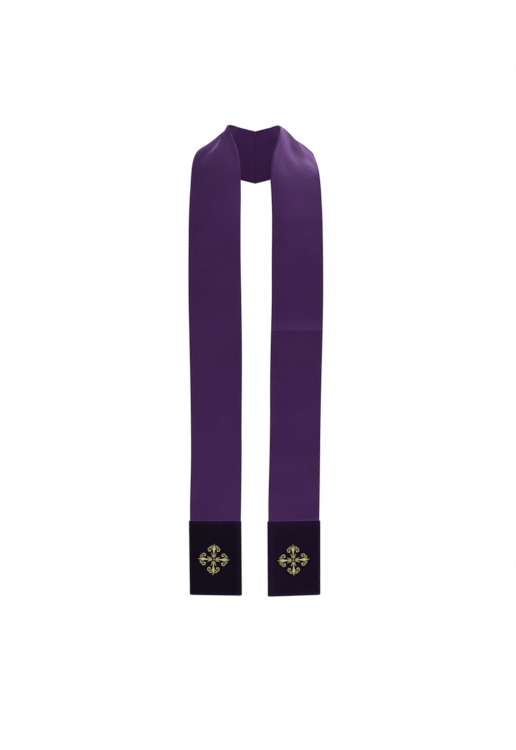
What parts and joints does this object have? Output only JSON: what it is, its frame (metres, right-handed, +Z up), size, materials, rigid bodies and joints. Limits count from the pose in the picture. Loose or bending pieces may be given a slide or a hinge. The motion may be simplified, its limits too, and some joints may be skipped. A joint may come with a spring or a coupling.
{
  "type": "clerical stole",
  "caption": "Clerical stole in its worn form: straight purple cloth bands over the shoulders, joined at the nape, with dark velvet ends and gold embroidered crosses.",
  "frame": {"origin": "the nape: top of the centre-back seam, where the back of the wearer's neck carries the stole", "axes": "+Z up, -Y towards the wearer's front, +X to the wearer's left"},
  "size_m": [0.3158, 0.2283, 1.1196],
  "materials": {
    "purple_cloth": "fine plain weave with a slight satin sheen",
    "dark_velvet": "short dense velvet pile",
    "gold_thread": "satin-stitched rayon thread, soft gold"
  },
  "bodies": {
    "root": {"band_right": "purple_cloth", "band_left": "purple_cloth", "end_panel_right": "dark_velvet", "end_panel_left": "dark_velvet", "cross_right": "gold_thread", "cross_left": "gold_thread"}
  },
  "joints": []
}
